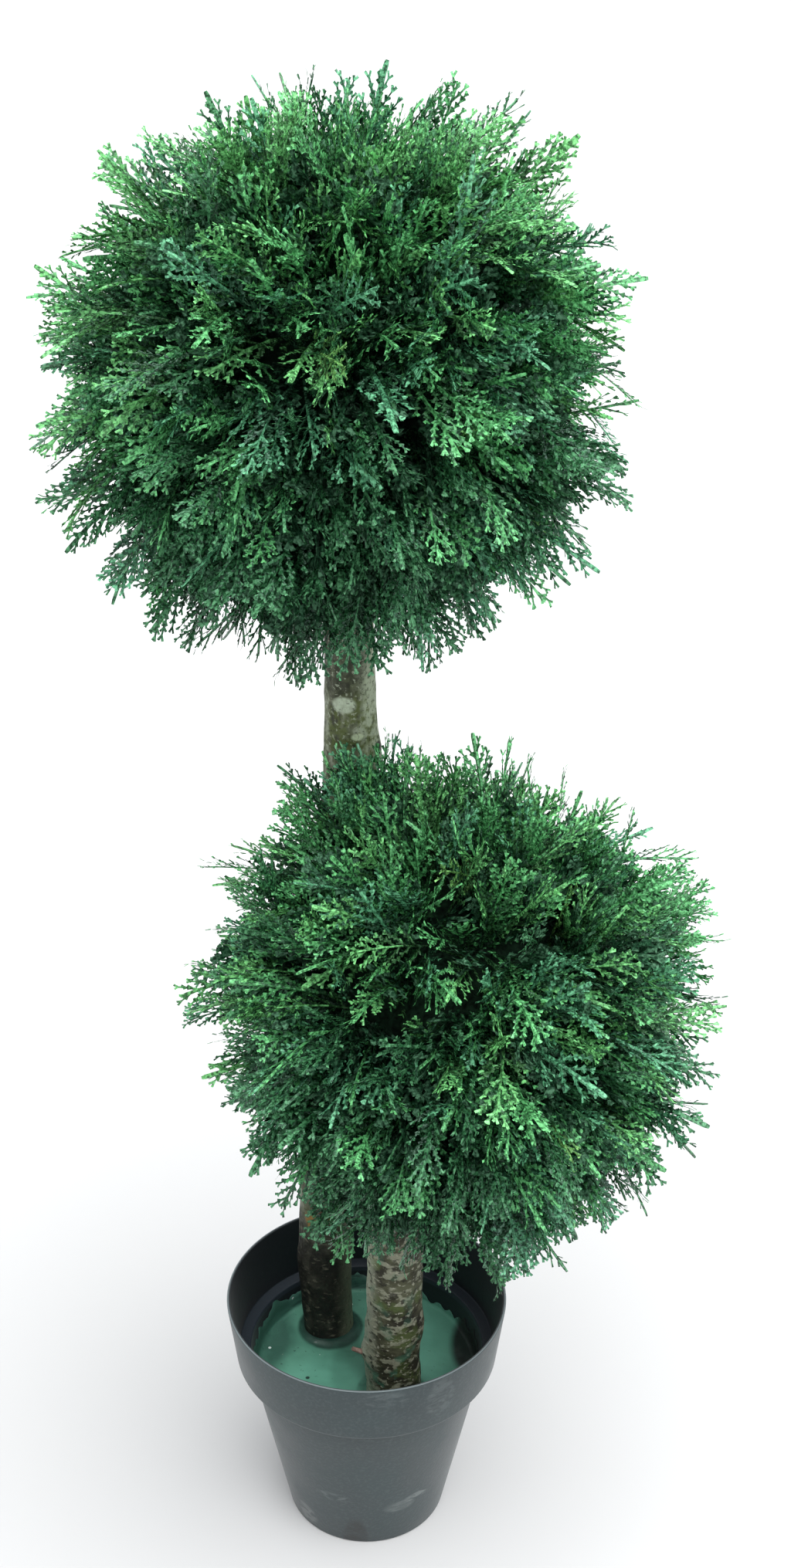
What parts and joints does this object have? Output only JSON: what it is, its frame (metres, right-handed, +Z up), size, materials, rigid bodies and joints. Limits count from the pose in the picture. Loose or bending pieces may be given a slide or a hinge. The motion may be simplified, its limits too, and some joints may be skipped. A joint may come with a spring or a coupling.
{
  "type": "artificial double-ball arborvitae topiary in a pot",
  "caption": "Potted artificial evergreen topiary: a tall and a short wooden trunk, each carrying a round clipped ball of flat scale-leaved sprays.",
  "frame": {"origin": "on the floor at the pot's own axis, at the middle of its flat underside", "axes": "+Z up; -Y the front that the picture shows; +X the viewer's right, towards the lower ball"},
  "size_m": [0.6507, 0.6323, 1.5293],
  "materials": {
    "pot_plastic": "matte",
    "painted_cement": "satin",
    "bark_tall": "matte",
    "bark_short": "matte",
    "sprays_upper": "satin",
    "sprays_lower": "satin"
  },
  "bodies": {
    "root": {"pot": "pot_plastic", "fill": "painted_cement", "trunk_tall": "bark_tall", "trunk_short": "bark_short", "foliage_upper": "sprays_upper", "foliage_lower": "sprays_lower"}
  },
  "joints": []
}
